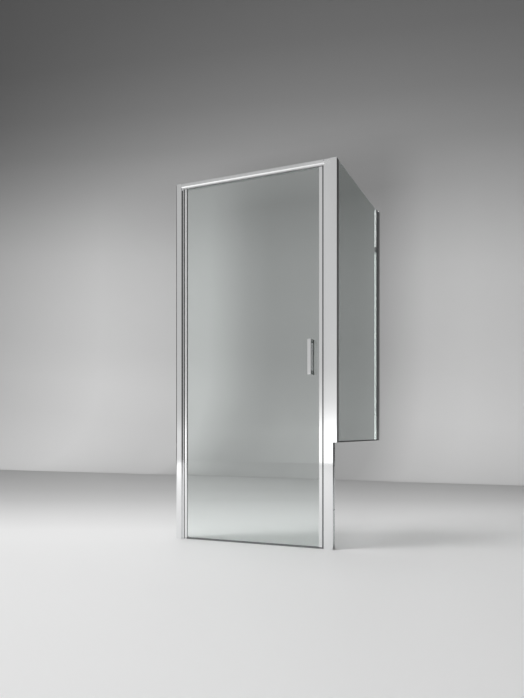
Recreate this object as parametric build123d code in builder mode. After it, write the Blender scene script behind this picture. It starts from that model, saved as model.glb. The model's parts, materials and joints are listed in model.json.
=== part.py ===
from build123d import *
import os

# Shower enclosure: a framed pivot door between two walls, with a fixed side pane.
# Origin: foot of the wall channel on the hinge side, on the frame's front face.
# X runs along the front, Y into the shower, Z up. Sizes are millimetres.

# Overall sizes
frame_height = 1950.0
front_width = 921.0
side_depth = 890.0
side_foot = 534.0
frame_depth = 36.0

# Walls, gaps and cuts shared by all extrusions
profile_wall = 1.5
slide_gap = 0.3
touch_gap = 0.4
swing_gap = 0.6
hole_gap = 0.1
overrun = 1.0

# Frame members
wall_profile_width = 34.0
wall_corner_radius = 12.0
wall_cap_depth = 15.0
jamb_reveal = 15.0
jamb_rib_width = 3.5
jamb_insertion = 19.0
rail_height = 30.0
bevel_width = 6.0
bevel_depth = 3.0
rail_setback = 3.0
rail_lip_height = 7.0
rail_slope_height = 6.0
top_lip_drop = 3.0
top_seal_drop = 7.0
strike_lip_reach = 11.0
strike_width = 34.0
post_width = 34.0
post_ledge = 20.0
threshold_height = 3.0
threshold_inset = 2.0
threshold_bevel = 1.5
water_rib_height = 5.0
cap_thickness = 1.5
cap_plug_depth = 5.0

# Glass and glazing
glass_thickness = 6.0
gasket_thickness = 1.0
glazing_depth = 9.0
hinge_glazing_depth = 7.0
side_glazing_depth = 11.0

# Door leaf
barrel_radius = 6.5
barrel_inset = 4.0
hinge_stile_reach = 11.4
clamp_taper = 1.5
closing_stile_width = 16.5
door_foot = 8.0
door_top_gap = 3.0
end_cap_thickness = 1.2
foot_cap_height = 4.4

# Pivots
pin_radius = 3.0
pin_fit = 0.05
pin_grip = 40.0
collar_radius = 5.5
collar_thickness = 1.2
bush_wall = 1.15
bush_flange_radius = 6.0
bush_flange_thickness = 0.8
upper_bush_depth = 14.0
upper_pin_reach = 12.0
lower_bush_depth = 4.5
pivot_block_height = 6.0
pivot_block_reach = 9.0
pivot_block_rear_height = 10.0
rail_block_length = 40.0
rail_block_height = 19.5
spigot_drop = 25.0

# Corner casting over the strike jamb
corner_lap_top = 13.0
corner_lap_foot = 10.0
corner_tongue = 20.0

# Magnetic strips
magnet_strip_depth = 4.0
magnet_strip_width = 9.0
magnet_skin = 0.8
strip_neck_width = 3.6
strip_head_width = 6.0
strip_head_thickness = 1.2

# Screws, drawn with flat sides
screw_radius = 2.0
screw_sides = 12
screw_head_sides = 16
screw_head_radius = 3.5
screw_head_height = 2.0
screw_reach = 8.0
corner_screw_radius = 2.5
corner_screw_length = 12.0
corner_screw_sink = 1.0
corner_socket_radius = 1.5
corner_socket_depth = 3.0
wall_hole_radius = 2.5
wall_hole_margin = 150.0
side_hole_margin = 120.0
wall_hole_count = 4

# Seals
lip_root = 6.0
lip_reach = 7.0
lip_thickness = 0.8
fin_thickness = 1.0
fin_spread = 2.0
fin_end_gap = 2.5
seal_leg_height = 1.5
seal_base_thickness = 1.5
pane_seal_base = 2.0
pane_seal_leg = 5.0

# Side panel
side_profile_width = 28.0
side_profile_depth = 30.0
side_profile_lip = 5.0
side_profile_reveal = 30.0
side_adjuster_insertion = 26.0
side_corner_radius = 4.0
side_glass_inset = 5.5

# Handle
handle_inset = 40.0
handle_height = 963.0
handle_length = 177.0
handle_width = 20.0
handle_reach = 42.0
grip_thickness = 4.0
grip_edge_radius = 1.2
handle_post_width = 16.0
handle_post_height = 20.0
handle_base_depth = 14.0
handle_pad_thickness = 0.5
inner_plate_thickness = 3.0
handle_hole_radius = 5.0
handle_screw_radius = 2.5
handle_screw_reach = 12.0
handle_head_radius = 5.0

# Places worked out from the sizes above
axis_x = wall_profile_width + jamb_reveal + swing_gap + barrel_radius
axis_y = barrel_inset + barrel_radius
seat_radius = barrel_radius + swing_gap
seat_x = axis_x - seat_radius
stile_front = axis_y - barrel_radius
stile_back = axis_y + barrel_radius
glass_front = axis_y - glass_thickness / 2
glass_back = axis_y + glass_thickness / 2
slot_front = glass_front - gasket_thickness
slot_back = glass_back + gasket_thickness
lip_front = stile_back + swing_gap
lip_back = lip_front + profile_wall
threshold_front = slot_front + fin_thickness + swing_gap
strike_x = front_width - post_width - strike_width
post_x = front_width - post_width
hinge_stile_end = axis_x + hinge_stile_reach
closing_stile_end = strike_x - 2 * magnet_strip_depth - touch_gap
closing_stile_x = closing_stile_end - closing_stile_width
door_top = frame_height - rail_height - door_top_gap
rail_z = frame_height - rail_height
rail_core_y = rail_setback + profile_wall + slide_gap
jamb_x = wall_profile_width - jamb_insertion
jamb_front = profile_wall + slide_gap
jamb_back = frame_depth - profile_wall - slide_gap
jamb_web_x = wall_profile_width + touch_gap
jamb_web_end = jamb_web_x + profile_wall
side_glass_x = front_width - side_glass_inset
side_slot_half = glass_thickness / 2 + gasket_thickness
post_slot_foot = frame_depth - side_glazing_depth
side_profile_y = side_depth - side_profile_depth
side_adjuster_y = side_profile_y - side_profile_reveal
side_adjuster_half = side_profile_width / 2 - side_profile_lip - slide_gap
side_adjuster_back = side_profile_y + side_adjuster_insertion
side_slot_foot = side_adjuster_y + side_glazing_depth
capped_height = frame_height - cap_thickness
door_length = door_top - door_foot
handle_x = closing_stile_x - handle_inset
handle_post_offset = (handle_length - handle_post_height) / 2
handle_post_heights = (handle_height - handle_post_offset, handle_height + handle_post_offset)
wall_hole_step = (frame_height - 2 * wall_hole_margin) / (wall_hole_count - 1)
side_hole_step = (frame_height - side_foot - 2 * side_hole_margin) / (wall_hole_count - 1)
adjuster_height_shares = (0.13, 0.5, 0.87)
post_screw_height_shares = (0.1, 0.37, 0.63, 0.9)
outward = (0, 1, 0)


def block(x_low, x_high, y_low, y_high, mode=Mode.ADD):
    """Draw a rectangle between four places of the open sketch."""
    with Locations(((x_low + x_high) / 2, (y_low + y_high) / 2)):
        Rectangle(x_high - x_low, y_high - y_low, mode=mode)


def disc(x, y, radius, mode=Mode.ADD):
    """Draw a circle at a place of the open sketch."""
    with Locations((x, y)):
        Circle(radius, mode=mode)


def outline(*points):
    """Draw a closed outline through the points of the open sketch."""
    Polygon(*points, align=None)


def screw(place, facing, head_radius, head_height, shank_radius, shank_length):
    """Add a screw to the open part, its head standing on the place."""
    with BuildSketch(Plane(origin=place, z_dir=facing)) as head:
        RegularPolygon(head_radius, screw_head_sides)
    extrude(head.sketch, amount=head_height)
    with BuildSketch(Plane(origin=place, z_dir=facing)) as shank:
        RegularPolygon(shank_radius, screw_sides)
    extrude(shank.sketch, amount=-shank_length)


def drill(place, facing, radius, depth):
    """Cut a round hole of the open part, from the place against the facing."""
    with BuildSketch(Plane(origin=place, z_dir=facing)) as hole:
        Circle(radius)
    extrude(hole.sketch, amount=-depth, mode=Mode.SUBTRACT)


def screw_way(place, facing, radius, depth):
    """Cut the way of a screw of that radius, from the place against the facing."""
    with BuildSketch(Plane(origin=place, z_dir=facing)) as way:
        RegularPolygon(radius + hole_gap, screw_sides, major_radius=False)
    extrude(way.sketch, amount=-depth, mode=Mode.SUBTRACT)


def share_heights(low, high, shares):
    """Heights at shares of the way from low to high."""
    return [low + (high - low) * share for share in shares]


os.makedirs("parts", exist_ok=True)

adjuster_heights = share_heights(0, rail_z, adjuster_height_shares)
side_adjuster_heights = share_heights(side_foot, capped_height, adjuster_height_shares)
post_screw_heights = share_heights(0, rail_z, post_screw_height_shares)
wall_hole_heights = [wall_hole_margin + wall_hole_step * i for i in range(wall_hole_count)]
side_hole_heights = [side_foot + side_hole_margin + side_hole_step * i for i in range(wall_hole_count)]

# Wall channel on the hinge side

with BuildPart() as hinge_wall_profile:
    with BuildSketch(Plane.XY) as wall_section:
        outline(
            (0, bevel_depth), (bevel_width, 0), (wall_profile_width, 0), (wall_profile_width, frame_depth),
            (0, frame_depth),
        )
        wall_skin = wall_section.sketch_local
        offset(amount=-profile_wall, mode=Mode.SUBTRACT)
        block(wall_profile_width / 2, wall_profile_width, profile_wall, frame_depth - profile_wall,
              Mode.SUBTRACT)
    extrude(amount=frame_height)
    # the top corner at the wall is rounded
    with BuildSketch(Plane.XZ) as wall_corner:
        block(-overrun, wall_corner_radius, frame_height - wall_corner_radius, frame_height + overrun)
        disc(wall_corner_radius, frame_height - wall_corner_radius, wall_corner_radius, Mode.SUBTRACT)
    extrude(amount=-frame_depth - overrun, mode=Mode.SUBTRACT)
    for height in wall_hole_heights:
        drill((profile_wall, frame_depth / 2, height), (1, 0, 0), wall_hole_radius, profile_wall + overrun)
    for height in adjuster_heights:
        screw_way((jamb_x + jamb_insertion / 2, frame_depth, height), outward, screw_radius,
                  profile_wall + slide_gap)
hinge_wall_profile.part.label = "hinge_wall_profile"
export_step(hinge_wall_profile.part, "parts/hinge_wall_profile.step")

with BuildPart() as hinge_wall_cap:
    with BuildSketch(Plane.XY.offset(frame_height - wall_cap_depth)):
        add(wall_skin)
        offset(amount=-profile_wall)
        block(wall_profile_width / 2, wall_profile_width, profile_wall, frame_depth - profile_wall)
    extrude(amount=wall_cap_depth)
    with BuildSketch(Plane.XZ):
        add(wall_corner.sketch_local)
    extrude(amount=-frame_depth, mode=Mode.SUBTRACT)
hinge_wall_cap.part.label = "hinge_wall_cap"
export_step(hinge_wall_cap.part, "parts/hinge_wall_cap.step")

# Jamb that telescopes in the wall channel and seats the door's barrel

with BuildPart() as hinge_jamb:
    with BuildSketch(Plane.XY):
        with BuildLine():
            Polyline(
                (axis_x, axis_y + seat_radius), (axis_x, jamb_back), (jamb_x, jamb_back),
                (jamb_x, jamb_front), (jamb_web_end, jamb_front), (jamb_web_end, axis_y), (seat_x, axis_y),
            )
            CenterArc((axis_x, axis_y), seat_radius, 90, 90)
        make_face()
        offset(amount=-profile_wall, mode=Mode.SUBTRACT)
        block(jamb_x - overrun, jamb_x + profile_wall, jamb_front + profile_wall, jamb_back - profile_wall,
              Mode.SUBTRACT)
        block(jamb_web_x, jamb_web_end, jamb_front, jamb_back)
        # rib beside the barrel, in the front groove
        block(seat_x - jamb_rib_width, seat_x, jamb_front, axis_y)
    extrude(amount=rail_z)
    for height in adjuster_heights:
        screw_way((jamb_x + jamb_insertion / 2, jamb_back, height), outward, screw_radius, profile_wall)
    # holes for the screws of the two castings
    spigot_left = jamb_web_end + slide_gap
    spigot_right = axis_x - profile_wall - slide_gap
    spigot_x = (spigot_left + spigot_right) / 2
    spigot_screw_z = rail_z - spigot_drop / 2
    block_screw_y = (lip_front + jamb_back) / 2
    block_screw_z = pivot_block_rear_height - screw_head_radius
    screw_way((spigot_x, jamb_back, spigot_screw_z), outward, screw_radius, profile_wall)
    screw_way((axis_x, block_screw_y, block_screw_z), (1, 0, 0), screw_radius, profile_wall)
hinge_jamb.part.label = "hinge_jamb"
export_step(hinge_jamb.part, "parts/hinge_jamb.step")

with BuildPart() as hinge_lip_seal:
    with BuildSketch(Plane.XY.offset(pivot_block_rear_height)):
        lip_y = stile_back + touch_gap
        outline(
            (axis_x, lip_y + 2 * lip_thickness), (axis_x + lip_reach, lip_y),
            (axis_x + lip_reach, lip_y + lip_thickness),
            (axis_x + 2 * fin_thickness, lip_y + 3 * lip_thickness),
            (axis_x + 2 * fin_thickness, lip_y + lip_root), (axis_x, lip_y + lip_root),
        )
    extrude(amount=rail_z - top_lip_drop - pivot_block_rear_height)
hinge_lip_seal.part.label = "hinge_lip_seal"
export_step(hinge_lip_seal.part, "parts/hinge_lip_seal.step")

# Top rail: bevelled at the top, set back at the foot, with the stop lip behind the door

rail_x = wall_profile_width + slide_gap
corner_top_x = strike_x - corner_lap_top
corner_foot_x = strike_x + corner_lap_foot
block_x = jamb_web_end
block_end = block_x + rail_block_length
rail_screw_z = rail_z + profile_wall + rail_block_height / 2
rail_screw_x = block_end - 2 * screw_head_radius
tongue_screw_x = corner_top_x - corner_tongue / 2
bush_radius = pin_radius + pin_fit + bush_wall

with BuildPart() as top_rail:
    with BuildSketch(Plane.YZ.offset(rail_x)):
        outline(
            (rail_setback, rail_z), (frame_depth, rail_z), (frame_depth, frame_height),
            (bevel_depth, frame_height), (0, frame_height - bevel_width),
            (0, rail_z + rail_lip_height + rail_slope_height), (rail_setback, rail_z + rail_lip_height),
        )
        offset(amount=-profile_wall, mode=Mode.SUBTRACT)
        block(lip_front, lip_back, rail_z - top_lip_drop, rail_z + profile_wall)
    extrude(amount=corner_foot_x - rail_x)
    # slanted end at the corner casting
    with BuildSketch(Plane.XZ):
        outline(
            (corner_top_x, frame_height + overrun), (corner_top_x, frame_height), (corner_foot_x, rail_z),
            (corner_foot_x + overrun, rail_z), (corner_foot_x + overrun, frame_height + overrun),
        )
    extrude(amount=-frame_depth - overrun, mode=Mode.SUBTRACT)
    # the stop lip is cut back at both jambs
    with BuildSketch(Plane.XZ):
        block(rail_x - overrun, axis_x + touch_gap, rail_z - top_lip_drop - overrun, rail_z)
        block(strike_x - strike_lip_reach - touch_gap, corner_foot_x + overrun,
              rail_z - top_lip_drop - overrun, rail_z)
    extrude(amount=-frame_depth, mode=Mode.SUBTRACT)
    # ways through the rail's floor for the spigot and the upper bush
    with BuildSketch(Plane.XY.offset(rail_z)):
        block(spigot_left - hole_gap, spigot_right + hole_gap, lip_front + profile_wall,
              jamb_back - profile_wall)
        disc(axis_x, axis_y, bush_radius + hole_gap)
    extrude(amount=profile_wall, mode=Mode.SUBTRACT)
    # way through the rail's floor for the corner casting's spigot
    with BuildSketch(Plane.XY.offset(rail_z)):
        block(strike_x + profile_wall, corner_foot_x + overrun, rail_core_y + profile_wall,
              jamb_back - profile_wall)
    extrude(amount=profile_wall, mode=Mode.SUBTRACT)
    for place_x in (rail_screw_x, tongue_screw_x):
        screw_way((place_x, frame_depth, rail_screw_z), outward, screw_radius, profile_wall)
top_rail.part.label = "top_rail"
export_step(top_rail.part, "parts/top_rail.step")

with BuildPart() as top_stop_seal:
    with BuildSketch(Plane.YZ.offset(hinge_stile_end + fin_end_gap)):
        seal_foot_z = rail_z - top_seal_drop
        outline(
            (lip_front, seal_foot_z), (lip_front, seal_foot_z + lip_root),
            (lip_front - fin_thickness, seal_foot_z + lip_root),
            (lip_front - fin_thickness, seal_foot_z + 2 * fin_thickness),
            (glass_back + touch_gap, seal_foot_z + fin_thickness), (glass_back + touch_gap, seal_foot_z),
        )
    extrude(amount=closing_stile_x - hinge_stile_end - 2 * fin_end_gap)
top_stop_seal.part.label = "top_stop_seal"
export_step(top_stop_seal.part, "parts/top_stop_seal.step")

# Upper pivot: casting in the rail, its spigot in the jamb, and the bush

with BuildPart() as top_pivot_block:
    with BuildSketch(Plane.XY.offset(rail_z + profile_wall)):
        block(block_x, block_end, rail_core_y, jamb_back)
    extrude(amount=rail_block_height)
    with BuildSketch(Plane.XY.offset(rail_z + profile_wall)):
        block(spigot_left, spigot_right, lip_back + slide_gap, jamb_back - profile_wall - slide_gap)
    extrude(amount=-spigot_drop - profile_wall)
    drill((axis_x, axis_y, rail_z + upper_bush_depth), (0, 0, 1), bush_radius + hole_gap,
          upper_bush_depth + overrun)
    screw_way((rail_screw_x, jamb_back, rail_screw_z), outward, screw_radius, screw_reach)
    screw_way((spigot_x, jamb_back, spigot_screw_z), outward, screw_radius, screw_reach)
top_pivot_block.part.label = "top_pivot_block"
export_step(top_pivot_block.part, "parts/top_pivot_block.step")

with BuildPart() as top_pivot_bush:
    with BuildSketch(Plane.XY.offset(rail_z - bush_flange_thickness)):
        disc(axis_x, axis_y, bush_flange_radius)
    extrude(amount=bush_flange_thickness)
    with BuildSketch(Plane.XY.offset(rail_z)):
        disc(axis_x, axis_y, bush_radius)
    extrude(amount=upper_bush_depth)
    drill((axis_x, axis_y, rail_z + upper_bush_depth - fin_thickness), (0, 0, 1), pin_radius + pin_fit,
          upper_bush_depth + overrun)
top_pivot_bush.part.label = "top_pivot_bush"
export_step(top_pivot_bush.part, "parts/top_pivot_bush.step")

# Lower pivot: foot casting under the hinge stile, its bush and its screw

with BuildPart() as bottom_pivot_block:
    with BuildSketch(Plane.XY):
        disc(axis_x, axis_y, barrel_radius)
        block(axis_x, axis_x + pivot_block_reach, stile_front, stile_back)
        block(axis_x, axis_x + pivot_block_reach, lip_front, jamb_back)
        block(axis_x + touch_gap, axis_x + pivot_block_reach, stile_back, lip_front)
    extrude(amount=pivot_block_height)
    with BuildSketch(Plane.XY.offset(pivot_block_height)):
        block(axis_x, axis_x + pivot_block_reach, lip_front, jamb_back)
    extrude(amount=pivot_block_rear_height - pivot_block_height)
    drill((axis_x, axis_y, pivot_block_height), (0, 0, 1), bush_radius + hole_gap, lower_bush_depth)
    screw_way((axis_x + pivot_block_reach, block_screw_y, block_screw_z), (1, 0, 0), screw_radius,
              pivot_block_reach)
bottom_pivot_block.part.label = "bottom_pivot_block"
export_step(bottom_pivot_block.part, "parts/bottom_pivot_block.step")

with BuildPart() as bottom_pivot_bush:
    with BuildSketch(Plane.XY.offset(pivot_block_height)):
        disc(axis_x, axis_y, bush_flange_radius)
    extrude(amount=bush_flange_thickness)
    with BuildSketch(Plane.XY.offset(pivot_block_height)):
        disc(axis_x, axis_y, bush_radius)
    extrude(amount=-lower_bush_depth)
    drill((axis_x, axis_y, pivot_block_height + bush_flange_thickness), (0, 0, 1), pin_radius + pin_fit,
          lower_bush_depth + bush_flange_thickness)
bottom_pivot_bush.part.label = "bottom_pivot_bush"
export_step(bottom_pivot_bush.part, "parts/bottom_pivot_bush.step")

with BuildPart() as pivot_block_screw:
    screw((axis_x + pivot_block_reach, block_screw_y, block_screw_z), (1, 0, 0), screw_head_radius,
          screw_head_height, screw_radius, pivot_block_reach + 2 * profile_wall)
pivot_block_screw.part.label = "pivot_block_screw"
export_step(pivot_block_screw.part, "parts/pivot_block_screw.step")

# Threshold between the foot casting and the strike jamb, with its water rib

with BuildPart() as threshold:
    with BuildSketch(Plane.YZ.offset(axis_x + pivot_block_reach)):
        threshold_back = frame_depth - threshold_inset
        outline(
            (threshold_front, 0), (threshold_back, 0), (threshold_back, threshold_height - threshold_bevel),
            (threshold_back - threshold_bevel, threshold_height),
            (threshold_front + threshold_bevel, threshold_height),
            (threshold_front, threshold_height - threshold_bevel),
        )
        block(lip_front, lip_back, threshold_height / 2, threshold_height + water_rib_height)
    extrude(amount=strike_x - axis_x - pivot_block_reach)
    # the rib makes room for the foot casting's screw head
    with BuildSketch(Plane.XY.offset(threshold_height)):
        rib_start = axis_x + pivot_block_reach + 2 * screw_head_height
        block(axis_x + pivot_block_reach, rib_start, lip_front, lip_back)
    extrude(amount=water_rib_height, mode=Mode.SUBTRACT)
threshold.part.label = "threshold"
export_step(threshold.part, "parts/threshold.step")

# Strike jamb, with its stop lip and the slot for the magnetic strip

strike_lip_foot = threshold_height + water_rib_height + touch_gap

with BuildPart() as strike_jamb:
    with BuildSketch(Plane.XY) as strike_section:
        block(strike_x, post_x, 0, frame_depth)
        offset(amount=-profile_wall, mode=Mode.SUBTRACT)
        block(strike_x - strike_lip_reach, strike_x + profile_wall, lip_front, lip_back)
        block(strike_x, strike_x + profile_wall, axis_y - strip_neck_width / 2 - hole_gap,
              axis_y + strip_neck_width / 2 + hole_gap, Mode.SUBTRACT)
    extrude(amount=rail_z)
    with BuildSketch(Plane.XZ):
        block(strike_x - strike_lip_reach - overrun, strike_x, -overrun, strike_lip_foot)
    extrude(amount=-frame_depth, mode=Mode.SUBTRACT)
    strike_spigot_x = (corner_foot_x + post_x) / 2
    screw_way((strike_spigot_x, frame_depth, spigot_screw_z), outward, screw_radius, profile_wall)
    for height in post_screw_heights:
        screw_way((post_x, frame_depth / 2, height), (1, 0, 0), screw_radius, profile_wall)
strike_jamb.part.label = "strike_jamb"
export_step(strike_jamb.part, "parts/strike_jamb.step")

with BuildPart() as strike_magnet_sleeve:
    with BuildSketch(Plane.XY.offset(strike_lip_foot)):
        sleeve_x = strike_x - magnet_strip_depth
        block(sleeve_x, strike_x, axis_y - magnet_strip_width / 2, axis_y + magnet_strip_width / 2)
        block(sleeve_x + magnet_skin, strike_x - magnet_skin, axis_y - magnet_strip_width / 2 + magnet_skin,
              axis_y + magnet_strip_width / 2 - magnet_skin, Mode.SUBTRACT)
        block(strike_x, strike_x + profile_wall, axis_y - strip_neck_width / 2, axis_y + strip_neck_width / 2)
        block(strike_x + profile_wall, strike_x + profile_wall + strip_head_thickness,
              axis_y - strip_head_width / 2, axis_y + strip_head_width / 2)
    extrude(amount=rail_z - strike_lip_foot)
strike_magnet_sleeve.part.label = "strike_magnet_sleeve"
export_step(strike_magnet_sleeve.part, "parts/strike_magnet_sleeve.step")

with BuildPart() as strike_magnet:
    with BuildSketch(Plane.XY.offset(strike_lip_foot)):
        block(sleeve_x + magnet_skin, strike_x - magnet_skin - hole_gap,
              axis_y - magnet_strip_width / 2 + magnet_skin + hole_gap,
              axis_y + magnet_strip_width / 2 - magnet_skin - hole_gap)
    extrude(amount=rail_z - strike_lip_foot)
strike_magnet.part.label = "strike_magnet"
export_step(strike_magnet.part, "parts/strike_magnet.step")

# Corner casting: its slanted face meets the rail, its tongue and spigot plug into rail and jamb

corner_screw_place = (strike_x, corner_screw_sink, frame_height - 2 * corner_screw_radius)

with BuildPart() as strike_corner:
    with BuildSketch(Plane.YZ.offset(corner_top_x)):
        outline(
            (0, rail_z), (frame_depth, rail_z), (frame_depth, frame_height), (bevel_depth, frame_height),
            (0, frame_height - bevel_width),
        )
    extrude(amount=post_x - corner_top_x)
    with BuildSketch(Plane.XZ):
        outline(
            (corner_top_x - overrun, frame_height), (corner_top_x, frame_height), (corner_foot_x, rail_z),
            (corner_foot_x, rail_z - overrun), (corner_top_x - overrun, rail_z - overrun),
        )
    extrude(amount=-frame_depth, mode=Mode.SUBTRACT)
    with BuildSketch(Plane.XY.offset(rail_z + profile_wall + hole_gap)):
        block(corner_top_x - corner_tongue, corner_foot_x, rail_core_y, jamb_back)
    extrude(amount=rail_block_height)
    with BuildSketch(Plane.XY.offset(rail_z)):
        block(corner_foot_x + slide_gap, post_x - profile_wall - slide_gap, jamb_front, jamb_back)
    extrude(amount=-spigot_drop)
    screw_way((tongue_screw_x, jamb_back, rail_screw_z), outward, screw_radius, screw_reach)
    screw_way((strike_spigot_x, jamb_back, spigot_screw_z), outward, screw_radius, screw_reach)
    drill((corner_screw_place[0], -overrun, corner_screw_place[2]), (0, -1, 0),
          corner_screw_radius + hole_gap, corner_screw_length + corner_screw_sink + overrun)
strike_corner.part.label = "strike_corner"
export_step(strike_corner.part, "parts/strike_corner.step")

with BuildPart() as corner_screw:
    with BuildSketch(Plane(origin=corner_screw_place, z_dir=outward)):
        Circle(corner_screw_radius)
    extrude(amount=corner_screw_length)
    with BuildSketch(Plane(origin=corner_screw_place, z_dir=outward)):
        RegularPolygon(corner_socket_radius, 6)
    extrude(amount=corner_socket_depth, mode=Mode.SUBTRACT)
corner_screw.part.label = "corner_screw"
export_step(corner_screw.part, "parts/corner_screw.step")

with BuildPart() as frame_screws:
    for place in (
        (rail_screw_x, frame_depth, rail_screw_z), (tongue_screw_x, frame_depth, rail_screw_z),
        (spigot_x, jamb_back, spigot_screw_z), (strike_spigot_x, frame_depth, spigot_screw_z),
    ):
        screw(place, outward, screw_head_radius, screw_head_height, screw_radius, screw_reach)
frame_screws.part.label = "frame_screws"
export_step(frame_screws.part, "parts/frame_screws.step")

with BuildPart() as adjuster_screws:
    for height in adjuster_heights:
        screw((jamb_x + jamb_insertion / 2, frame_depth, height), outward, screw_head_radius,
              screw_head_height, screw_radius, screw_reach)
adjuster_screws.part.label = "adjuster_screws"
export_step(adjuster_screws.part, "parts/adjuster_screws.step")

with BuildPart() as post_screws:
    for height in post_screw_heights:
        screw((post_x - profile_wall, frame_depth / 2, height), (-1, 0, 0), screw_head_radius,
              screw_head_height, screw_radius, screw_reach)
post_screws.part.label = "post_screws"
export_step(post_screws.part, "parts/post_screws.step")

# Corner post, notched below the side pane's foot, with the glazing slot in its rear face

post_slot_wall = side_glass_x - side_slot_half - profile_wall

with BuildPart() as corner_post:
    with BuildSketch(Plane.XY):
        block(post_x, front_width, 0, frame_depth)
        offset(amount=-profile_wall, mode=Mode.SUBTRACT)
        block(post_slot_wall, front_width, post_slot_foot - profile_wall, frame_depth)
        block(side_glass_x - side_slot_half, side_glass_x + side_slot_half, post_slot_foot,
              frame_depth + overrun, Mode.SUBTRACT)
    extrude(amount=capped_height)
    with BuildSketch(Plane.XY):
        block(front_width - post_ledge, front_width + overrun, -overrun, frame_depth + overrun)
    extrude(amount=side_foot, mode=Mode.SUBTRACT)
    for height in post_screw_heights:
        screw_way((post_x + profile_wall, frame_depth / 2, height), (1, 0, 0), screw_radius, profile_wall)
corner_post.part.label = "corner_post"
export_step(corner_post.part, "parts/corner_post.step")

with BuildPart() as post_cap:
    with BuildSketch(Plane.XY.offset(capped_height)):
        block(post_x, front_width, 0, frame_depth)
        block(side_glass_x - side_slot_half, side_glass_x + side_slot_half, post_slot_foot,
              frame_depth + overrun, Mode.SUBTRACT)
    extrude(amount=cap_thickness)
    with BuildSketch(Plane.XY.offset(capped_height)):
        block(post_x + profile_wall + slide_gap, post_slot_wall - slide_gap, profile_wall + slide_gap,
              post_slot_foot - profile_wall - slide_gap)
    extrude(amount=-cap_plug_depth)
post_cap.part.label = "post_cap"
export_step(post_cap.part, "parts/post_cap.step")

# Fixed side pane, its gaskets and its foot seal

pane_front = post_slot_foot + gasket_thickness
pane_back = side_slot_foot - gasket_thickness
pane_foot = side_foot + pane_seal_base

with BuildPart() as side_glass:
    with BuildSketch(Plane.XY.offset(pane_foot)):
        block(side_glass_x - glass_thickness / 2, side_glass_x + glass_thickness / 2, pane_front, pane_back)
    extrude(amount=frame_height - pane_foot)
side_glass.part.label = "side_glass"
export_step(side_glass.part, "parts/side_glass.step")

with BuildPart() as side_front_gasket:
    with BuildSketch(Plane.XY.offset(pane_foot)):
        block(side_glass_x - side_slot_half, side_glass_x + side_slot_half, post_slot_foot, frame_depth)
        block(side_glass_x - glass_thickness / 2, side_glass_x + glass_thickness / 2, pane_front,
              frame_depth + overrun, Mode.SUBTRACT)
    extrude(amount=capped_height - pane_foot)
side_front_gasket.part.label = "side_front_gasket"
export_step(side_front_gasket.part, "parts/side_front_gasket.step")

with BuildPart() as side_rear_gasket:
    with BuildSketch(Plane.XY.offset(pane_foot)):
        block(side_glass_x - side_slot_half, side_glass_x + side_slot_half, side_adjuster_y, side_slot_foot)
        block(side_glass_x - glass_thickness / 2, side_glass_x + glass_thickness / 2,
              side_adjuster_y - overrun, pane_back, Mode.SUBTRACT)
    extrude(amount=capped_height - pane_foot)
side_rear_gasket.part.label = "side_rear_gasket"
export_step(side_rear_gasket.part, "parts/side_rear_gasket.step")

with BuildPart() as side_bottom_seal:
    with BuildSketch(Plane.XZ.offset(-frame_depth)):
        block(side_glass_x - side_slot_half, side_glass_x + side_slot_half, side_foot,
              pane_foot + pane_seal_leg)
        block(side_glass_x - glass_thickness / 2, side_glass_x + glass_thickness / 2, pane_foot,
              pane_foot + pane_seal_leg + overrun, Mode.SUBTRACT)
    extrude(amount=frame_depth - side_adjuster_y)
side_bottom_seal.part.label = "side_bottom_seal"
export_step(side_bottom_seal.part, "parts/side_bottom_seal.step")

# Profile that holds the pane's rear edge and telescopes in the back wall channel

with BuildPart() as side_adjusting_profile:
    with BuildSketch(Plane.XY.offset(side_foot)) as adjuster_section:
        block(side_glass_x - side_adjuster_half, side_glass_x + side_adjuster_half, side_adjuster_y,
              side_adjuster_back)
        # the outer front corner is rounded, and the rear is open
        front_corners = adjuster_section.vertices().group_by(Axis.Y)[0]
        fillet(front_corners.sort_by(Axis.X)[-1], radius=side_corner_radius)
        offset(amount=-profile_wall, mode=Mode.SUBTRACT)
        block(side_glass_x - side_adjuster_half + profile_wall,
              side_glass_x + side_adjuster_half - profile_wall, side_profile_y, side_adjuster_back,
              Mode.SUBTRACT)
        # glazing slot
        block(side_glass_x - side_adjuster_half, side_glass_x + side_adjuster_half, side_slot_foot,
              side_slot_foot + profile_wall)
        block(side_glass_x - side_slot_half - profile_wall, side_glass_x + side_slot_half + profile_wall,
              side_adjuster_y, side_slot_foot)
        block(side_glass_x - side_slot_half, side_glass_x + side_slot_half, side_adjuster_y, side_slot_foot,
              Mode.SUBTRACT)
    extrude(amount=capped_height - side_foot)
    side_screw_y = (side_profile_y + profile_wall + side_adjuster_back) / 2
    for height in side_adjuster_heights:
        screw_way((side_glass_x - side_adjuster_half, side_screw_y, height), (-1, 0, 0), screw_radius,
                  profile_wall)
side_adjusting_profile.part.label = "side_adjusting_profile"
export_step(side_adjusting_profile.part, "parts/side_adjusting_profile.step")

side_profile_x = side_glass_x - side_profile_width / 2
side_profile_end = side_glass_x + side_profile_width / 2

with BuildPart() as side_wall_profile:
    with BuildSketch(Plane.XY.offset(side_foot)):
        block(side_profile_x, side_profile_end, side_profile_y, side_depth)
        offset(amount=-profile_wall, mode=Mode.SUBTRACT)
        # way between the lips
        block(side_profile_x + side_profile_lip, side_profile_end - side_profile_lip, side_profile_y,
              side_profile_y + profile_wall, Mode.SUBTRACT)
    extrude(amount=capped_height - side_foot)
    for height in side_hole_heights:
        drill((side_glass_x, side_depth, height), outward, wall_hole_radius, profile_wall)
    for height in side_adjuster_heights:
        screw_way((side_profile_x, side_screw_y, height), (-1, 0, 0), screw_radius, profile_wall)
side_wall_profile.part.label = "side_wall_profile"
export_step(side_wall_profile.part, "parts/side_wall_profile.step")

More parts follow.
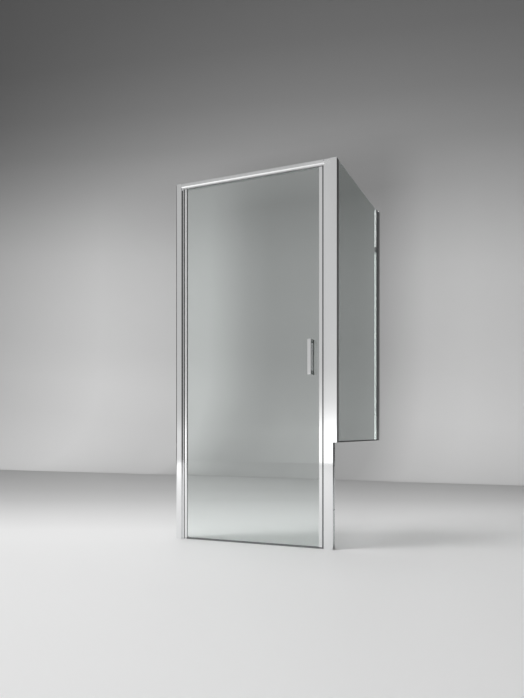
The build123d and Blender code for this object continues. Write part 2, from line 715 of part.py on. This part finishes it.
with BuildPart() as side_wall_cap:
    with BuildSketch(Plane.XY.offset(capped_height)) as cap_section:
        block(side_glass_x - side_adjuster_half, side_glass_x + side_adjuster_half, side_adjuster_y,
              side_depth)
        cap_corners = cap_section.vertices().group_by(Axis.Y)[0]
        fillet(cap_corners.sort_by(Axis.X)[-1], radius=side_corner_radius)
        block(side_profile_x, side_profile_end, side_profile_y, side_depth)
        block(side_glass_x - side_slot_half, side_glass_x + side_slot_half, side_adjuster_y - overrun,
              side_slot_foot, Mode.SUBTRACT)
    extrude(amount=cap_thickness)
    with BuildSketch(Plane.XY.offset(capped_height)):
        plug_half = side_adjuster_half - profile_wall - slide_gap
        block(side_glass_x - plug_half, side_glass_x + plug_half, side_slot_foot + profile_wall + slide_gap,
              side_depth - profile_wall - slide_gap)
    extrude(amount=-cap_plug_depth)
side_wall_cap.part.label = "side_wall_cap"
export_step(side_wall_cap.part, "parts/side_wall_cap.step")

with BuildPart() as side_adjuster_screws:
    for height in side_adjuster_heights:
        screw((side_profile_x, side_screw_y, height), (-1, 0, 0), screw_head_radius, screw_head_height,
              screw_radius, screw_reach)
side_adjuster_screws.part.label = "side_adjuster_screws"
export_step(side_adjuster_screws.part, "parts/side_adjuster_screws.step")

# Hinge stile: the barrel that turns in the jamb's seat, running out into the glass clamp

glazing_foot = hinge_stile_end - hinge_glazing_depth

with BuildPart() as hinge_stile:
    with BuildSketch(Plane.XY.offset(door_foot)):
        with BuildLine():
            CenterArc((axis_x, axis_y), barrel_radius, 90, 180)
            TangentArc((axis_x, stile_front), (hinge_stile_end, stile_front + clamp_taper), tangent=(1, 0))
            Line((hinge_stile_end, stile_front + clamp_taper), (hinge_stile_end, stile_back - clamp_taper))
            TangentArc((axis_x, stile_back), (hinge_stile_end, stile_back - clamp_taper), tangent=(1, 0))
        make_face()
        block(glazing_foot, hinge_stile_end + overrun, slot_front, slot_back, Mode.SUBTRACT)
        disc(axis_x, axis_y, pin_radius + pin_fit, Mode.SUBTRACT)
    extrude(amount=door_length)
hinge_stile.part.label = "hinge_stile"
export_step(hinge_stile.part, "parts/hinge_stile.step")

with BuildPart() as hinge_stile_gasket:
    with BuildSketch(Plane.XY.offset(door_foot)):
        block(glazing_foot, hinge_stile_end, slot_front, slot_back)
        block(glazing_foot + gasket_thickness, hinge_stile_end + overrun, glass_front, glass_back,
              Mode.SUBTRACT)
    extrude(amount=door_length)
hinge_stile_gasket.part.label = "hinge_stile_gasket"
export_step(hinge_stile_gasket.part, "parts/hinge_stile_gasket.step")

# Closing stile, its gasket, caps and magnetic strip

closing_slot_foot = closing_stile_x + glazing_depth
chamber_wall = profile_wall

with BuildPart() as closing_stile:
    with BuildSketch(Plane.XY.offset(door_foot)):
        block(closing_stile_x, closing_stile_end, stile_front, stile_back)
        block(closing_slot_foot + chamber_wall, closing_stile_end - chamber_wall, stile_front + chamber_wall,
              stile_back - chamber_wall, Mode.SUBTRACT)
        block(closing_stile_x - overrun, closing_slot_foot, slot_front, slot_back, Mode.SUBTRACT)
        block(closing_stile_end - chamber_wall, closing_stile_end, axis_y - strip_neck_width / 2 - hole_gap,
              axis_y + strip_neck_width / 2 + hole_gap, Mode.SUBTRACT)
    extrude(amount=door_length)
closing_stile.part.label = "closing_stile"
export_step(closing_stile.part, "parts/closing_stile.step")

with BuildPart() as closing_stile_gasket:
    with BuildSketch(Plane.XY.offset(door_foot)):
        block(closing_stile_x, closing_slot_foot, slot_front, slot_back)
        block(closing_stile_x - overrun, closing_slot_foot - gasket_thickness, glass_front, glass_back,
              Mode.SUBTRACT)
    extrude(amount=door_length)
closing_stile_gasket.part.label = "closing_stile_gasket"
export_step(closing_stile_gasket.part, "parts/closing_stile_gasket.step")

with BuildPart() as closing_stile_caps:
    with BuildSketch(Plane.XY.offset(door_foot)):
        block(closing_stile_x, closing_stile_end, stile_front, stile_back)
    extrude(amount=-foot_cap_height)
    with BuildSketch(Plane.XY.offset(door_top)):
        block(closing_stile_x, closing_stile_end, stile_front, stile_back)
    extrude(amount=end_cap_thickness)
closing_stile_caps.part.label = "closing_stile_caps"
export_step(closing_stile_caps.part, "parts/closing_stile_caps.step")

with BuildPart() as door_magnet_sleeve:
    with BuildSketch(Plane.XY.offset(door_foot)):
        strip_end = closing_stile_end + magnet_strip_depth
        block(closing_stile_end, strip_end, axis_y - magnet_strip_width / 2, axis_y + magnet_strip_width / 2)
        block(closing_stile_end + magnet_skin, strip_end - magnet_skin,
              axis_y - magnet_strip_width / 2 + magnet_skin, axis_y + magnet_strip_width / 2 - magnet_skin,
              Mode.SUBTRACT)
        block(closing_stile_end - profile_wall, closing_stile_end, axis_y - strip_neck_width / 2,
              axis_y + strip_neck_width / 2)
        block(closing_stile_end - profile_wall - strip_head_thickness, closing_stile_end - profile_wall,
              axis_y - strip_head_width / 2, axis_y + strip_head_width / 2)
    extrude(amount=door_length)
door_magnet_sleeve.part.label = "door_magnet_sleeve"
export_step(door_magnet_sleeve.part, "parts/door_magnet_sleeve.step")

with BuildPart() as door_magnet:
    with BuildSketch(Plane.XY.offset(door_foot)):
        block(closing_stile_end + magnet_skin + hole_gap, strip_end - magnet_skin,
              axis_y - magnet_strip_width / 2 + magnet_skin + hole_gap,
              axis_y + magnet_strip_width / 2 - magnet_skin - hole_gap)
    extrude(amount=door_length)
door_magnet.part.label = "door_magnet"
export_step(door_magnet.part, "parts/door_magnet.step")

# Door pane, drilled for the handle, and its bottom seal

with BuildPart() as door_glass:
    with BuildSketch(Plane.XY.offset(door_foot)):
        block(glazing_foot + gasket_thickness, closing_slot_foot - gasket_thickness, glass_front, glass_back)
    extrude(amount=door_length)
    for height in handle_post_heights:
        drill((handle_x, glass_back, height), outward, handle_hole_radius, glass_thickness)
door_glass.part.label = "door_glass"
export_step(door_glass.part, "parts/door_glass.step")

with BuildPart() as door_bottom_seal:
    with BuildSketch(Plane.YZ.offset(hinge_stile_end)):
        seal_top = door_foot + seal_leg_height
        seal_base = door_foot - seal_base_thickness
        fin_foot = threshold_height + touch_gap
        outline(
            (slot_front, seal_top), (slot_front, touch_gap), (slot_front + fin_thickness, touch_gap),
            (slot_front + fin_thickness, seal_base),
            (slot_back - 2 * fin_thickness, seal_base), (slot_back + fin_spread - fin_thickness, fin_foot),
            (slot_back + fin_spread, fin_foot), (slot_back, seal_base), (slot_back, seal_top),
            (glass_back, seal_top), (glass_back, door_foot), (glass_front, door_foot),
            (glass_front, seal_top),
        )
    extrude(amount=closing_stile_x - hinge_stile_end)
door_bottom_seal.part.label = "door_bottom_seal"
export_step(door_bottom_seal.part, "parts/door_bottom_seal.step")

# Pivot pins, gripped in the barrel's bore

with BuildPart() as top_pivot_pin:
    with BuildSketch(Plane.XY.offset(door_top - pin_grip)):
        disc(axis_x, axis_y, pin_radius)
    extrude(amount=pin_grip + door_top_gap + upper_pin_reach)
    with BuildSketch(Plane.XY.offset(door_top)):
        disc(axis_x, axis_y, collar_radius)
    extrude(amount=collar_thickness)
top_pivot_pin.part.label = "top_pivot_pin"
export_step(top_pivot_pin.part, "parts/top_pivot_pin.step")

with BuildPart() as bottom_pivot_pin:
    pin_foot = pivot_block_height - lower_bush_depth + slide_gap
    with BuildSketch(Plane.XY.offset(pin_foot)):
        disc(axis_x, axis_y, pin_radius)
    extrude(amount=door_foot + pin_grip - pin_foot)
    with BuildSketch(Plane.XY.offset(pivot_block_height + bush_flange_thickness)):
        disc(axis_x, axis_y, collar_radius)
    extrude(amount=door_foot - pivot_block_height - bush_flange_thickness)
bottom_pivot_pin.part.label = "bottom_pivot_pin"
export_step(bottom_pivot_pin.part, "parts/bottom_pivot_pin.step")

# Handle: flat grip, two stand-off blocks, the bar between them, and the plate inside

grip_back = glass_front - handle_reach + grip_thickness
post_seat = glass_front - handle_pad_thickness
plate_seat = glass_back + handle_pad_thickness
plate_back = plate_seat + inner_plate_thickness

with BuildPart() as handle_grip:
    with BuildSketch(Plane.XZ.offset(-grip_back)):
        block(handle_x - handle_width / 2, handle_x + handle_width / 2, handle_height - handle_length / 2,
              handle_height + handle_length / 2)
    extrude(amount=grip_thickness)
    fillet(handle_grip.faces().sort_by(Axis.Y)[0].edges(), radius=grip_edge_radius)
handle_grip.part.label = "handle_grip"
export_step(handle_grip.part, "parts/handle_grip.step")

with BuildPart() as handle_posts:
    for height in handle_post_heights:
        with BuildSketch(Plane.XZ.offset(-post_seat)):
            block(handle_x - handle_post_width / 2, handle_x + handle_post_width / 2,
                  height - handle_post_height / 2, height + handle_post_height / 2)
        extrude(amount=post_seat - grip_back)
        screw_way((handle_x, post_seat, height), outward, handle_screw_radius, handle_screw_reach)
handle_posts.part.label = "handle_posts"
export_step(handle_posts.part, "parts/handle_posts.step")

with BuildPart() as handle_base:
    with BuildSketch(Plane.XZ.offset(-post_seat)):
        block(handle_x - handle_width / 2, handle_x + handle_width / 2,
              handle_post_heights[0] + handle_post_height / 2,
              handle_post_heights[1] - handle_post_height / 2)
    extrude(amount=handle_base_depth)
    fillet(handle_base.edges().filter_by(Axis.Z).group_by(Axis.Y)[0], radius=grip_edge_radius)
handle_base.part.label = "handle_base"
export_step(handle_base.part, "parts/handle_base.step")

with BuildPart() as handle_pads:
    for height in handle_post_heights:
        for pad_y in (post_seat, glass_back):
            with BuildSketch(Plane.XZ.offset(-pad_y)):
                block(handle_x - handle_post_width / 2, handle_x + handle_post_width / 2,
                      height - handle_post_height / 2, height + handle_post_height / 2)
                disc(handle_x, height, handle_hole_radius, Mode.SUBTRACT)
            extrude(amount=-handle_pad_thickness)
handle_pads.part.label = "handle_pads"
export_step(handle_pads.part, "parts/handle_pads.step")

with BuildPart() as handle_glass_bushes:
    for height in handle_post_heights:
        with BuildSketch(Plane.XZ.offset(-post_seat)):
            disc(handle_x, height, handle_hole_radius - hole_gap)
            disc(handle_x, height, handle_screw_radius + hole_gap, Mode.SUBTRACT)
        extrude(amount=post_seat - plate_seat)
handle_glass_bushes.part.label = "handle_glass_bushes"
export_step(handle_glass_bushes.part, "parts/handle_glass_bushes.step")

with BuildPart() as handle_inner_plate:
    with BuildSketch(Plane.XZ.offset(-plate_seat)):
        block(handle_x - handle_width / 2, handle_x + handle_width / 2, handle_height - handle_length / 2,
              handle_height + handle_length / 2)
    extrude(amount=-inner_plate_thickness)
    for height in handle_post_heights:
        screw_way((handle_x, plate_back, height), outward, handle_screw_radius, inner_plate_thickness)
    fillet(handle_inner_plate.faces().sort_by(Axis.Y)[-1].outer_wire().edges(), radius=grip_edge_radius)
handle_inner_plate.part.label = "handle_inner_plate"
export_step(handle_inner_plate.part, "parts/handle_inner_plate.step")

with BuildPart() as handle_screws:
    for height in handle_post_heights:
        screw((handle_x, plate_back, height), outward, handle_head_radius, screw_head_height,
              handle_screw_radius, plate_back - post_seat + handle_screw_reach - hole_gap)
handle_screws.part.label = "handle_screws"
export_step(handle_screws.part, "parts/handle_screws.step")
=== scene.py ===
import json
import math

import bpy
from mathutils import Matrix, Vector

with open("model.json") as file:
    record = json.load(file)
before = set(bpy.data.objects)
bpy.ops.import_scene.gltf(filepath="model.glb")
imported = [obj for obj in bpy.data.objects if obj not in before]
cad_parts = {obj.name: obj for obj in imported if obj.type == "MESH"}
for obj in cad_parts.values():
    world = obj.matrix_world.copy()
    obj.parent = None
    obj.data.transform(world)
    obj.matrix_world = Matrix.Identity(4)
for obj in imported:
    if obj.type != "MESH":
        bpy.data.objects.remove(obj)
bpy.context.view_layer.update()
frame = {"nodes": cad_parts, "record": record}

# Directions in the object's frame
ACROSS = (1.0, 0.0, 0.0)
UPWARDS = (0.0, 0.0, 1.0)

# Camera, solved from the photograph's vanishing lines, in metres and pixels
CAMERA_PLACE = (1.8585, -3.0944, 0.586)
CAMERA_TURN_DEG = 23.43
FOCAL_PIXELS = 648.27
IMAGE_HEIGHT_PIXELS = 698
HORIZON_BELOW_CENTRE_PIXELS = 83.04
SENSOR_MM = 36.0

# Floor, in metres, with a painted pool of light around and before the enclosure and painted shade behind
# it;
# each tone is a pair of how far along the fade it lies and how pale it is
FLOOR_HALF = 30.0
FLOOR_FRONT = -8.5
FLOOR_ROUGHNESS = 0.45
FLOOR_PAINTED_LIGHT_FADE = (-0.4, 0.92, 0.0)
FLOOR_PAINTED_LIGHT_TONES = (
    (0.0, 0.86), (0.3, 0.84), (0.7, 0.74), (1.4, 0.58), (2.0, 0.46), (3.0, 0.36), (4.3, 0.31), (6.0, 0.30),
)

# Backdrop, in metres, with painted shade: its tones upwards, darker higher up, and the shares of them
# from left to right, low down and high up, paler at the left and darker at the right, with a painted shadow
# behind the enclosure low down; and how the low shares turn into the high ones with the height
BACKDROP_LEFT = -11.0
BACKDROP_RIGHT = 12.0
BACKDROP_Y = 6.4
BACKDROP_BEND = 1.9
BACKDROP_BEND_STEPS = 24
BACKDROP_HEIGHT = 9.0
BACKDROP_LIFT = 0.002
BACKDROP_ROUGHNESS = 0.9
BACKDROP_PAINTED_SHADE_SLOPE = (0.12, 0.0, 1.0)
BACKDROP_PAINTED_SHADE_TONES = (
    (-1.5, 0.41), (-0.4, 0.39), (0.2, 0.37), (0.8, 0.37), (1.5, 0.34), (2.2, 0.325), (2.8, 0.305),
    (3.1, 0.29), (3.4, 0.265), (3.7, 0.24), (4.2, 0.198), (4.9, 0.146), (5.6, 0.117), (6.5, 0.10),
)
BACKDROP_LOW_PAINTED_SHADOW_SHARES = (
    (-11.0, 1.5), (-5.4, 1.55), (-3.9, 1.28), (-3.2, 1.22), (-2.5, 0.80), (-2.1, 0.70), (-1.4, 0.73),
    (-1.0, 0.80), (-0.3, 0.92), (0.3, 1.32), (0.93, 1.45), (1.65, 1.48), (1.9, 1.2), (2.2, 0.52),
    (2.5, 0.34), (2.87, 0.32), (3.2, 0.26), (12.0, 0.28),
)
BACKDROP_HIGH_PAINTED_SHADE_SHARES = (
    (-11.0, 1.5), (-5.4, 1.52), (1.65, 1.48), (1.9, 1.2), (2.2, 0.52), (2.5, 0.34), (2.87, 0.32),
    (3.2, 0.26), (12.0, 0.28),
)
BACKDROP_PAINTED_SHADOW_FADE_UPWARDS = ((4.2, 0.0), (4.6, 0.35), (5.0, 0.9), (5.2, 1.0))

# Surroundings that light the object: tones by direction, from left to right and from down to up,
# and a glow at the left near the horizon, which is added to them
STUDIO_STRENGTH = 1.0
STUDIO_ACROSS = (
    (-1.0, 0.08), (-0.96, 0.12), (-0.85, 0.5), (-0.62, 0.62), (-0.5, 0.57), (-0.318, 0.575), (-0.308, 0.62),
    (-0.292, 0.65), (-0.27, 0.60), (-0.24, 0.50), (-0.238, 2.5), (-0.212, 2.5), (-0.21, 0.35), (-0.1, 0.24),
    (0.1, 0.06), (0.3, 0.09), (0.316, 0.07), (0.325, 0.03), (0.36, 0.03), (0.44, 0.09), (1.0, 0.05),
)
STUDIO_UPWARDS = (
    (-1.0, 0.70), (-0.14, 0.85), (-0.08, 1.3), (0.0, 1.38), (0.012, 1.18), (0.035, 1.03), (0.09, 0.98),
    (0.45, 0.84), (1.0, 0.80),
)
GLOW_ACROSS = ((-0.46, 0.0), (-0.36, 0.55), (-0.25, 0.55), (-0.24, 0.0), (0.0, 0.0))
GLOW_UPWARDS = ((-0.14, 0.0), (-0.08, 0.9), (0.0, 1.0), (0.02, 0.62), (0.05, 0.24), (0.1, 0.0))

# Soft lights, in metres and watts
SOFT_LIGHTS = {
    "top_light": {"place": (-1.0, -1.6, 6.5), "aim": (-0.3, 0.0, 0.0), "size": (7.0, 7.0), "watts": 250.0},
    "key_light": {"place": (-7.0, -6.0, 4.2), "aim": (0.5, 0.4, 0.9), "size": (4.0, 4.0), "watts": 700.0},
    "wall_light": {"place": (-1.8, 1.5, 4.4), "aim": (-1.8, 6.4, 1.6), "size": (9.0, 1.5), "watts": 170.0},
}

# Patches and grains are counted per metre, each bump is a strength and a height in metres,
# and the shares give how far a roughness wanders between two patches
PATCH_DETAIL = 3.0
GRAIN_DETAIL = 2.0

# Polished metal, with its drawn lines stretched upwards
METAL_COLOUR = (0.93, 0.935, 0.94)
METAL_DARKER_SHARE = 0.95
METAL_PATCHES = 6.0
METAL_ROUGHNESS = 0.045
METAL_ROUGHNESS_SHARES = (0.7, 1.3)
METAL_DRAWN_LINES = 900.0
METAL_BUMP = (0.004, 0.0002)
CASTING_ROUGHNESS = 0.10
PROFILE_STRETCH = (1.0, 1.0, 0.01)
HANDLE_STRETCH = (1.0, 1.0, 0.02)
NO_STRETCH = (1.0, 1.0, 1.0)

# Glass, with its absorption per metre
GLASS_TINT = (0.985, 0.995, 0.990)
GLASS_IOR = 1.5
GLASS_ABSORPTION = (0.52, 0.88, 0.76)
GLASS_DENSITY = 14.0

# Moulded plastic and rubber
MOULDED_PATCHES = 25.0
MOULDED_VARIATION = 0.15
MOULDED_GRAINS = 1500.0
MOULDED_ROUGHNESS_SHARES = (0.85, 1.15)
MOULDED_BUMP = (0.08, 0.0001)
MOULDED_FINISHES = {
    "clear_seal": {
        "colour": (0.86, 0.88, 0.87), "roughness": 0.15, "variation": 0.04,
        "grains": 600.0, "transmission": 0.85,
    },
    "grey_seal": {"colour": (0.14, 0.145, 0.145), "roughness": 0.35},
    "dark_seal": {"colour": (0.11, 0.11, 0.115), "roughness": 0.55},
    "black_plastic": {"colour": (0.025, 0.025, 0.028), "roughness": 0.4},
    "white_plastic": {"colour": (0.75, 0.75, 0.72), "roughness": 0.45, "variation": 0.05},
    "grey_plastic": {"colour": (0.48, 0.49, 0.50), "roughness": 0.35, "variation": 0.05},
    "magnet": {"colour": (0.06, 0.055, 0.055), "roughness": 0.6},
}

# Turned steel of the pins and screws
STEEL_DARKER_SHARE = 0.85
STEEL_PATCHES = 120.0
STEEL_GRAINS = 900.0
STEEL_ROUGHNESS_SHARES = (0.8, 1.2)
STEEL_BUMP = (0.05, 0.0001)
STEEL_FINISHES = {
    "fixings": {"colour": (0.62, 0.62, 0.61), "roughness": 0.22},
    "dark_fixing": {"colour": (0.05, 0.05, 0.055), "roughness": 0.35},
}


def rgba(colour, share=1.0):
    """A colour as a socket takes it, lighter or darker by a share."""
    return tuple(min(1.0, share * channel) for channel in colour) + (1.0,)


def node_of(tree, kind):
    """The tree's first node of a kind."""
    return next(node for node in tree.nodes if node.type == kind)


def new_material(name):
    """A node material, its tree and its Principled shader."""
    material = bpy.data.materials.new(name)
    material.use_nodes = True
    tree = material.node_tree
    return material, tree, node_of(tree, "BSDF_PRINCIPLED")


def object_noise(tree, scale, detail, stretch=NO_STRETCH):
    """Noise in the object's own coordinates, stretched along the axes."""
    coordinates = tree.nodes.new("ShaderNodeTexCoord")
    mapping = tree.nodes.new("ShaderNodeMapping")
    mapping.inputs["Scale"].default_value = stretch
    noise = tree.nodes.new("ShaderNodeTexNoise")
    noise.inputs["Scale"].default_value = scale
    noise.inputs["Detail"].default_value = detail
    tree.links.new(coordinates.outputs["Object"], mapping.inputs["Vector"])
    tree.links.new(mapping.outputs["Vector"], noise.inputs["Vector"])
    return noise.outputs["Fac"]


def tint(tree, shader, value, first, second):
    """Let the colour wander between two colours."""
    node = tree.nodes.new("ShaderNodeMix")
    node.data_type = "RGBA"
    node.inputs["A"].default_value = first
    node.inputs["B"].default_value = second
    tree.links.new(value, node.inputs["Factor"])
    tree.links.new(node.outputs["Result"], shader.inputs["Base Color"])


def roughen(tree, shader, value, roughness, shares):
    """Let the roughness wander between two shares of itself."""
    node = tree.nodes.new("ShaderNodeMapRange")
    low_share, high_share = shares
    node.inputs["To Min"].default_value = low_share * roughness
    node.inputs["To Max"].default_value = high_share * roughness
    tree.links.new(value, node.inputs["Value"])
    tree.links.new(node.outputs["Result"], shader.inputs["Roughness"])


def bump(tree, shader, value, strength, distance):
    """Feed a height into the shader's normal."""
    node = tree.nodes.new("ShaderNodeBump")
    node.inputs["Strength"].default_value = strength
    node.inputs["Distance"].default_value = distance
    tree.links.new(value, node.inputs["Height"])
    tree.links.new(node.outputs["Normal"], shader.inputs["Normal"])


def polished_metal(name, roughness, stretch):
    """Bright polished aluminium with faint drawn lines and a slightly uneven polish."""
    material, tree, shader = new_material(name)
    shader.inputs["Metallic"].default_value = 1.0
    patches = object_noise(tree, METAL_PATCHES, PATCH_DETAIL)
    tint(tree, shader, patches, rgba(METAL_COLOUR, METAL_DARKER_SHARE), rgba(METAL_COLOUR))
    roughen(tree, shader, patches, roughness, METAL_ROUGHNESS_SHARES)
    bump(tree, shader, object_noise(tree, METAL_DRAWN_LINES, GRAIN_DETAIL, stretch), *METAL_BUMP)
    return material


def clear_glass(name):
    """Clear toughened glass; its edges look pale green because light travels further in them."""
    material, tree, shader = new_material(name)
    shader.inputs["Base Color"].default_value = rgba(GLASS_TINT)
    shader.inputs["Roughness"].default_value = 0.0
    shader.inputs["IOR"].default_value = GLASS_IOR
    shader.inputs["Transmission Weight"].default_value = 1.0
    absorption = tree.nodes.new("ShaderNodeVolumeAbsorption")
    absorption.inputs["Color"].default_value = rgba(GLASS_ABSORPTION)
    absorption.inputs["Density"].default_value = GLASS_DENSITY
    tree.links.new(absorption.outputs["Volume"], node_of(tree, "OUTPUT_MATERIAL").inputs["Volume"])
    return material


def moulded(name, colour, roughness, variation=MOULDED_VARIATION, grains=MOULDED_GRAINS, transmission=0.0):
    """Moulded plastic or rubber with fine grain."""
    material, tree, shader = new_material(name)
    patches = object_noise(tree, MOULDED_PATCHES, PATCH_DETAIL)
    tint(tree, shader, patches, rgba(colour, 1.0 - variation), rgba(colour, 1.0 + variation))
    roughen(tree, shader, patches, roughness, MOULDED_ROUGHNESS_SHARES)
    shader.inputs["Transmission Weight"].default_value = transmission
    bump(tree, shader, object_noise(tree, grains, GRAIN_DETAIL), *MOULDED_BUMP)
    return material


def steel(name, colour, roughness):
    """Turned stainless steel for pins and screws."""
    material, tree, shader = new_material(name)
    shader.inputs["Metallic"].default_value = 1.0
    patches = object_noise(tree, STEEL_PATCHES, PATCH_DETAIL)
    tint(tree, shader, patches, rgba(colour, STEEL_DARKER_SHARE), rgba(colour))
    roughen(tree, shader, patches, roughness, STEEL_ROUGHNESS_SHARES)
    bump(tree, shader, object_noise(tree, STEEL_GRAINS, GRAIN_DETAIL), *STEEL_BUMP)
    return material


def dress_nodes():
    """Give every CAD node the node material of its slot."""
    made = {
        "profile": polished_metal("profile_metal", METAL_ROUGHNESS, PROFILE_STRETCH),
        "casting": polished_metal("casting_metal", CASTING_ROUGHNESS, NO_STRETCH),
        "handle_metal": polished_metal("handle_metal", METAL_ROUGHNESS, HANDLE_STRETCH),
        "clear_glass": clear_glass("clear_glass"),
    }
    for name, finish in MOULDED_FINISHES.items():
        made[name] = moulded(name, **finish)
    for name, finish in STEEL_FINISHES.items():
        made[name] = steel(name, **finish)
    for part in frame["record"]["subparts"]:
        node = frame["nodes"][part["node"]]
        for place in node.material_slots:
            place.material = made[part["material_slot"]]


def along(tree, direction, space):
    """How far a point lies along a direction."""
    coordinates = tree.nodes.new("ShaderNodeTexCoord")
    product = tree.nodes.new("ShaderNodeVectorMath")
    product.operation = "DOT_PRODUCT"
    product.inputs[1].default_value = direction
    tree.links.new(coordinates.outputs[space], product.inputs[0])
    return product.outputs["Value"]


def ramp_between(tree, value, tones):
    """Grey tones along a value, each tone at its own place."""
    low, high = tones[0][0], tones[-1][0]
    share = tree.nodes.new("ShaderNodeMapRange")
    share.inputs["From Min"].default_value = low
    share.inputs["From Max"].default_value = high
    ramp = tree.nodes.new("ShaderNodeValToRGB")
    points = ramp.color_ramp.elements
    while len(points) < len(tones):
        points.new(0.5)
    for point, (place, tone) in zip(points, tones):
        point.position = (place - low) / (high - low)
        point.color = (tone, tone, tone, 1)
    tree.links.new(value, share.inputs["Value"])
    tree.links.new(share.outputs["Result"], ramp.inputs["Fac"])
    return ramp.outputs["Color"]


def combined(tree, kind, first, second, part=None):
    """Two grey tones added, multiplied or mixed; part says how much of the second is taken."""
    blend = tree.nodes.new("ShaderNodeMix")
    blend.data_type = "RGBA"
    blend.blend_type = kind
    blend.inputs["Factor"].default_value = 1.0
    tree.links.new(first, blend.inputs["A"])
    tree.links.new(second, blend.inputs["B"])
    if part is not None:
        tree.links.new(part, blend.inputs["Factor"])
    return blend.outputs["Result"]


def stage_surface(name, corners, faces, roughness):
    """A plain surface of the stage, with its material's tree and shader."""
    mesh = bpy.data.meshes.new(name)
    mesh.from_pydata(corners, [], faces)
    for polygon in mesh.polygons:
        polygon.use_smooth = True
    surface = bpy.data.objects.new(name, mesh)
    bpy.context.scene.collection.objects.link(surface)
    material, tree, shader = new_material(name)
    shader.inputs["Roughness"].default_value = roughness
    mesh.materials.append(material)
    return tree, shader


def build_floor():
    """A pale floor with a painted pool of light, palest around and before the enclosure, that fades to
    painted shade behind it.
    """
    corners = [(x, y, 0.0) for y in (FLOOR_FRONT, FLOOR_HALF) for x in (-FLOOR_HALF, FLOOR_HALF)]
    tree, shader = stage_surface("floor", corners, [(0, 1, 3, 2)], FLOOR_ROUGHNESS)
    # These tones paint a pool of light around and before the enclosure and painted shade behind it
    tones = ramp_between(tree, along(tree, FLOOR_PAINTED_LIGHT_FADE, "Object"), FLOOR_PAINTED_LIGHT_TONES)
    tree.links.new(tones, shader.inputs["Base Color"])


def build_backdrop():
    """A backdrop that rises from the floor in a soft bend, with painted shade that darkens it upwards and
    to the right.
    """
    profile = []
    for step in range(BACKDROP_BEND_STEPS + 1):
        angle = math.pi / 2 * step / BACKDROP_BEND_STEPS
        y = BACKDROP_Y - BACKDROP_BEND + BACKDROP_BEND * math.sin(angle)
        profile.append((y, BACKDROP_BEND * (1 - math.cos(angle))))
    profile.append((BACKDROP_Y, BACKDROP_HEIGHT))
    corners = [(x, y, z + BACKDROP_LIFT) for y, z in profile for x in (BACKDROP_LEFT, BACKDROP_RIGHT)]
    faces = [(2 * i, 2 * i + 1, 2 * i + 3, 2 * i + 2) for i in range(len(profile) - 1)]
    tree, shader = stage_surface("backdrop", corners, faces, BACKDROP_ROUGHNESS)
    # These tones paint shade that darkens the backdrop upwards
    tones = ramp_between(tree, along(tree, BACKDROP_PAINTED_SHADE_SLOPE, "Object"), BACKDROP_PAINTED_SHADE_TONES)
    place_across = along(tree, ACROSS, "Object")
    # The shares paint paler light at the left and shade at the right; the low ones also paint a shadow
    # behind the enclosure
    low_painted_shadow = ramp_between(tree, place_across, BACKDROP_LOW_PAINTED_SHADOW_SHARES)
    high_painted_shade = ramp_between(tree, place_across, BACKDROP_HIGH_PAINTED_SHADE_SHARES)
    # With the height the painted shadow behind the enclosure fades out
    painted_shadow_fade = ramp_between(tree, along(tree, UPWARDS, "Object"), BACKDROP_PAINTED_SHADOW_FADE_UPWARDS)
    shares = combined(tree, "MIX", low_painted_shadow, high_painted_shade, painted_shadow_fade)
    tree.links.new(combined(tree, "MULTIPLY", tones, shares), shader.inputs["Base Color"])


def build_surroundings():
    """Soft grey surroundings, lighter to the left and near the horizon."""
    world = bpy.data.worlds.new("studio")
    bpy.context.scene.world = world
    world.use_nodes = True
    tree = world.node_tree
    background = node_of(tree, "BACKGROUND")
    across = along(tree, ACROSS, "Generated")
    upwards = along(tree, UPWARDS, "Generated")
    studio = combined(tree, "MULTIPLY", ramp_between(tree, across, STUDIO_ACROSS),
                      ramp_between(tree, upwards, STUDIO_UPWARDS))
    glow = combined(tree, "MULTIPLY", ramp_between(tree, across, GLOW_ACROSS),
                    ramp_between(tree, upwards, GLOW_UPWARDS))
    tree.links.new(combined(tree, "ADD", studio, glow), background.inputs["Color"])
    background.inputs["Strength"].default_value = STUDIO_STRENGTH


def soft_light(name, place, aim, size, watts):
    """A large area light that points at a place and isn't mirrored in the metal."""
    data = bpy.data.lights.new(name, "AREA")
    data.shape = "RECTANGLE"
    data.size, data.size_y = size
    data.energy = watts
    lamp = bpy.data.objects.new(name, data)
    bpy.context.scene.collection.objects.link(lamp)
    lamp.location = place
    direction = Vector(aim) - Vector(place)
    lamp.rotation_mode = "QUATERNION"
    lamp.rotation_quaternion = direction.to_track_quat("-Z", "Y")
    lamp.visible_glossy = False


def build_camera():
    """The photograph's viewpoint, level, with the horizon below the image's middle."""
    data = bpy.data.cameras.new("camera")
    data.sensor_width = SENSOR_MM
    data.lens = FOCAL_PIXELS * SENSOR_MM / IMAGE_HEIGHT_PIXELS
    data.shift_y = HORIZON_BELOW_CENTRE_PIXELS / IMAGE_HEIGHT_PIXELS
    camera = bpy.data.objects.new("camera", data)
    bpy.context.scene.collection.objects.link(camera)
    camera.location = CAMERA_PLACE
    camera.rotation_euler = (math.pi / 2, 0, math.radians(CAMERA_TURN_DEG))
    bpy.context.scene.camera = camera


dress_nodes()
build_floor()
build_backdrop()
build_surroundings()
for name, light in SOFT_LIGHTS.items():
    soft_light(name, **light)
build_camera()
bpy.context.scene.view_settings.view_transform = "Standard"
